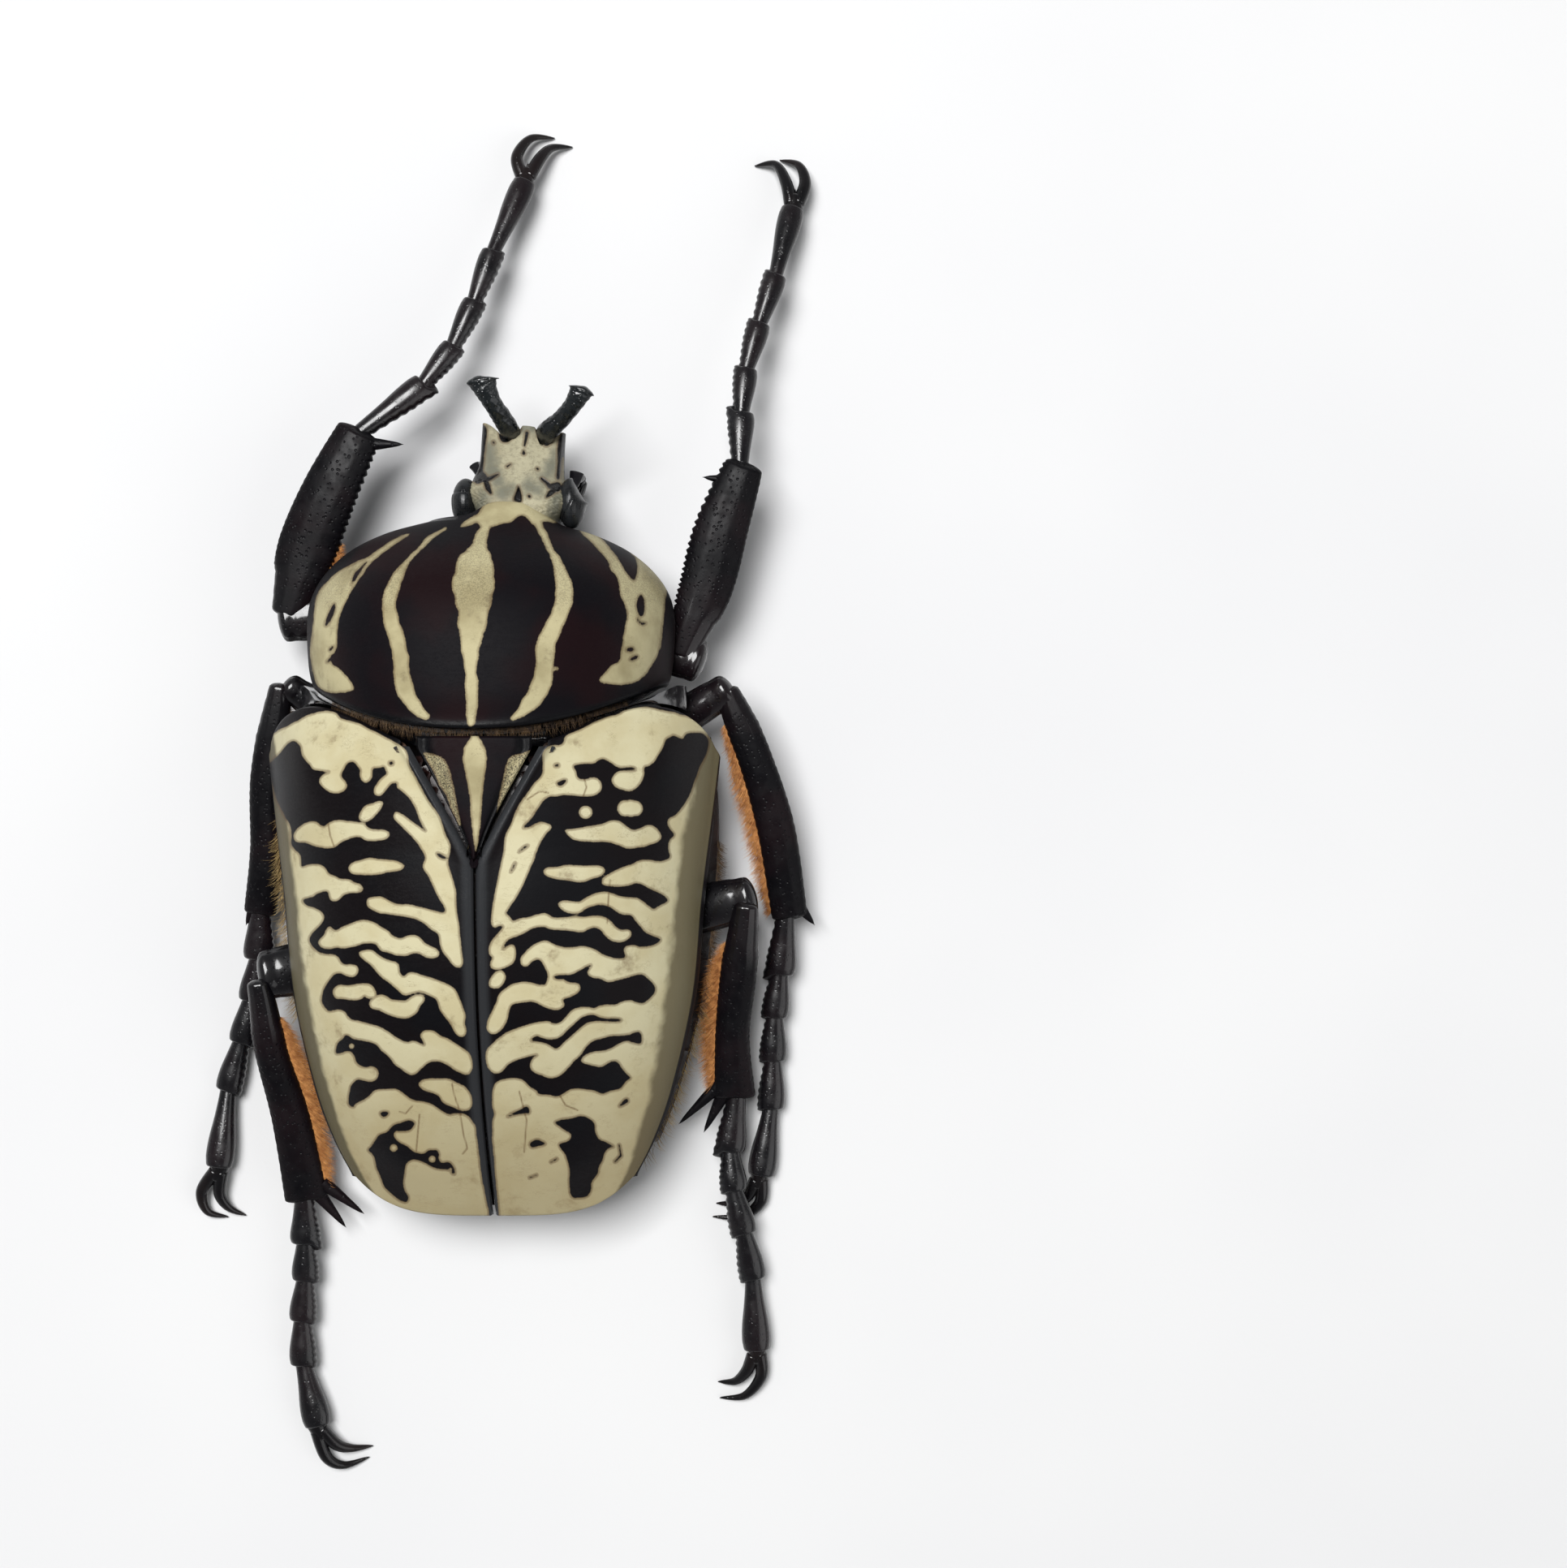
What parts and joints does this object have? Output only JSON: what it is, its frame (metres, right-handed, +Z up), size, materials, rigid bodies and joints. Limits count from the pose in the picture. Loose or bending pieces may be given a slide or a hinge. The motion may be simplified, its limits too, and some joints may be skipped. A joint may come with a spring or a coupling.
{
  "type": "goliath beetle",
  "caption": "Life-size still model of a male goliath beetle resting on its underside, with a forked head horn, banded wing cases and six spread legs.",
  "frame": {"origin": "middle of the flat under the thorax that the body rests on", "axes": "+Y along the body towards the head, +X to the animal's right, +Z up"},
  "size_m": [0.0688, 0.1493, 0.0287],
  "materials": {
    "wing_case": "ivory and velvety black pattern, semi-matt shell",
    "velvet_black": "velvety maroon-black shell with ivory stripes",
    "gloss_black": "glossy black shell",
    "head_cream": "ivory shell with dark rims",
    "horn_black": "pitted satin black horn",
    "eye": "dark polished eye",
    "underside": "dark brown-black plates, glossy",
    "leg_black": "glossy black with fine pits",
    "claw": "polished black claws"
  },
  "bodies": {
    "root": {"elytron_left": "wing_case", "elytron_right": "wing_case", "scutellum": "velvet_black", "mesothorax": "gloss_black", "thorax": "underside", "abdomen": "underside", "pygidium": "velvet_black", "pronotum": "velvet_black", "prosternum": "underside", "head": "head_cream", "horn": "horn_black", "eye_left": "eye", "eye_right": "eye", "antenna_left": "gloss_black", "antenna_right": "gloss_black", "mouthparts": "gloss_black", "leg_front_left_coxa": "leg_black", "leg_front_left_femur": "leg_black", "leg_front_left_tibia": "leg_black", "leg_front_left_tarsus": "leg_black", "leg_front_left_claws": "claw", "leg_front_right_coxa": "leg_black", "leg_front_right_femur": "leg_black", "leg_front_right_tibia": "leg_black", "leg_front_right_tarsus": "leg_black", "leg_front_right_claws": "claw", "leg_mid_left_coxa": "leg_black", "leg_mid_left_femur": "leg_black", "leg_mid_left_tibia": "leg_black", "leg_mid_left_tarsus": "leg_black", "leg_mid_left_claws": "claw", "leg_mid_right_coxa": "leg_black", "leg_mid_right_femur": "leg_black", "leg_mid_right_tibia": "leg_black", "leg_mid_right_tarsus": "leg_black", "leg_mid_right_claws": "claw", "leg_hind_left_coxa": "leg_black", "leg_hind_left_femur": "leg_black", "leg_hind_left_tibia": "leg_black", "leg_hind_left_tarsus": "leg_black", "leg_hind_left_claws": "claw", "leg_hind_right_coxa": "leg_black", "leg_hind_right_femur": "leg_black", "leg_hind_right_tibia": "leg_black", "leg_hind_right_tarsus": "leg_black", "leg_hind_right_claws": "claw"}
  },
  "joints": []
}
